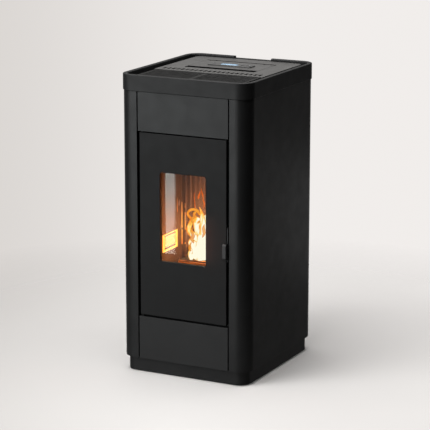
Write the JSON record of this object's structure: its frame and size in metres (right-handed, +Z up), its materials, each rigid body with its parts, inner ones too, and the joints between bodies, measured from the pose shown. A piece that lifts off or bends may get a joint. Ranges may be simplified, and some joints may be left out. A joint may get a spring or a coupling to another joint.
{
  "type": "pellet stove",
  "caption": "Free-standing wood-pellet stove: tall black steel casing, hinged fire door with a window, top lid over the pellet store with controls, auger feed, fans and flue outlet.",
  "frame": {"origin": "on the floor, in the middle of the plan", "axes": "+Z up, -Y towards the door, +X to the right of someone facing the door"},
  "size_m": [0.51, 0.585, 1.08],
  "materials": {
    "black_steel": "fine textured satin powder coat",
    "plate_steel": "satin grey-black coat",
    "bare_steel": "zinc-plated sheet",
    "black_inner": "matt heat-proof paint",
    "cast_iron": "matt cast",
    "fireback": "matt refractory",
    "steel_fastener": "plain",
    "motor_case": "satin",
    "fire_glass": "clear glass ceramic",
    "rope": "braided glass rope",
    "silicone": "soft matt",
    "rubber_foot": "matt",
    "black_plastic": "fine matt",
    "display": "backlit, smooth",
    "circuit": "lacquered",
    "red_plastic": "smooth"
  },
  "bodies": {
    "stove": {"base_plinth": "black_steel", "levelling_feet": "rubber_foot", "base_plate": "bare_steel", "side_panel_left": "black_steel", "side_panel_right": "black_steel", "upper_front_panel": "black_steel", "lower_front_panel": "black_steel", "front_frame": "black_inner", "rear_posts": "bare_steel", "rear_panel": "black_inner", "rear_screws": "steel_fastener", "top_cover": "black_steel", "top_plate": "plate_steel", "air_grilles": "plate_steel", "hinge_brackets": "bare_steel", "hinge_pins": "steel_fastener", "latch_catch": "bare_steel", "firebox_body": "black_inner", "liner_back": "fireback", "side_liners": "fireback", "baffle_plate": "fireback", "igniter": "steel_fastener", "heat_exchanger": "cast_iron", "air_plenum": "bare_steel", "smoke_duct": "bare_steel", "exhaust_fan_housing": "black_inner", "exhaust_fan_motor": "motor_case", "flue_outlet": "black_inner", "air_intake_pipe": "black_inner", "room_fan_housing": "bare_steel", "room_fan_motor": "motor_case", "pellet_hopper": "bare_steel", "hopper_guard": "bare_steel", "auger_tube": "bare_steel", "auger_motor": "motor_case", "pellet_chute": "bare_steel", "control_board": "circuit", "mains_inlet": "black_plastic", "thermostat": "bare_steel"},
    "door": {"door_panel": "black_steel", "door_frame": "cast_iron", "door_glass": "fire_glass", "glass_clips": "bare_steel", "door_seal": "rope"},
    "handle": {"door_handle": "black_steel"},
    "lid": {"hopper_lid": "plate_steel", "lid_seal": "silicone", "control_panel": "black_plastic", "display_window": "display"},
    "button_1": {"control_button_1": "black_plastic"},
    "button_2": {"control_button_2": "black_plastic"},
    "button_3": {"control_button_3": "black_plastic"},
    "button_4": {"control_button_4": "black_plastic"},
    "ash_pan": {"ash_drawer": "black_inner"},
    "fire_pot": {"burn_pot": "cast_iron"},
    "auger": {"auger_screw": "cast_iron"},
    "exhaust_rotor": {"exhaust_fan_rotor": "black_inner"},
    "room_rotor": {"room_fan_rotor": "bare_steel"},
    "rocker": {"rocker_switch": "black_plastic"},
    "reset": {"reset_button": "red_plastic"}
  },
  "joints": [
    {"name": "door_hinge", "type": "hinge", "parent": "stove", "child": "door", "pos_m": [-0.163, -0.271, 0.548], "axis": [0, 0, -1], "range_deg": [0, 110]},
    {"name": "handle_pull", "type": "hinge", "parent": "door", "child": "handle", "pos_m": [0.1731, -0.27, 0.562], "axis": [-1, 0, 0], "range_deg": [0, 30]},
    {"name": "lid_hinge", "type": "hinge", "parent": "stove", "child": "lid", "pos_m": [0, 0.172, 1.069], "axis": [-1, 0, 0], "range_deg": [0, 75]},
    {"name": "button_1_press", "type": "slide", "parent": "lid", "child": "button_1", "axis": [0, 0, -1], "range_m": [0, 0.0008], "stiffness_N_per_m": 600},
    {"name": "button_2_press", "type": "slide", "parent": "lid", "child": "button_2", "axis": [0, 0, -1], "range_m": [0, 0.0008], "stiffness_N_per_m": 600},
    {"name": "button_3_press", "type": "slide", "parent": "lid", "child": "button_3", "axis": [0, 0, -1], "range_m": [0, 0.0008], "stiffness_N_per_m": 600},
    {"name": "button_4_press", "type": "slide", "parent": "lid", "child": "button_4", "axis": [0, 0, -1], "range_m": [0, 0.0008], "stiffness_N_per_m": 600},
    {"name": "ash_pan_slide", "type": "slide", "parent": "stove", "child": "ash_pan", "axis": [0, -1, 0], "range_m": [0, 0.021]},
    {"name": "fire_pot_lift", "type": "slide", "parent": "stove", "child": "fire_pot", "axis": [0, 0, 1], "range_m": [0, 0.06]},
    {"name": "auger_turn", "type": "hinge", "parent": "stove", "child": "auger", "pos_m": [0, 0.165, 0.47], "axis": [0, -0.7071, 0.7071], "continuous": true},
    {"name": "exhaust_fan_turn", "type": "hinge", "parent": "stove", "child": "exhaust_rotor", "pos_m": [0.1, 0.005, 0.165], "axis": [1, 0, 0], "continuous": true},
    {"name": "room_fan_turn", "type": "hinge", "parent": "stove", "child": "room_rotor", "pos_m": [-0.128, 0.078, 0.172], "axis": [1, 0, 0], "continuous": true},
    {"name": "rocker_tilt", "type": "hinge", "parent": "stove", "child": "rocker", "pos_m": [-0.15, 0.239, 0.342], "axis": [-1, 0, 0], "range_deg": [0, 18]},
    {"name": "reset_press", "type": "slide", "parent": "stove", "child": "reset", "axis": [0, -1, 0], "range_m": [0, 0.001], "stiffness_N_per_m": 500}
  ]
}
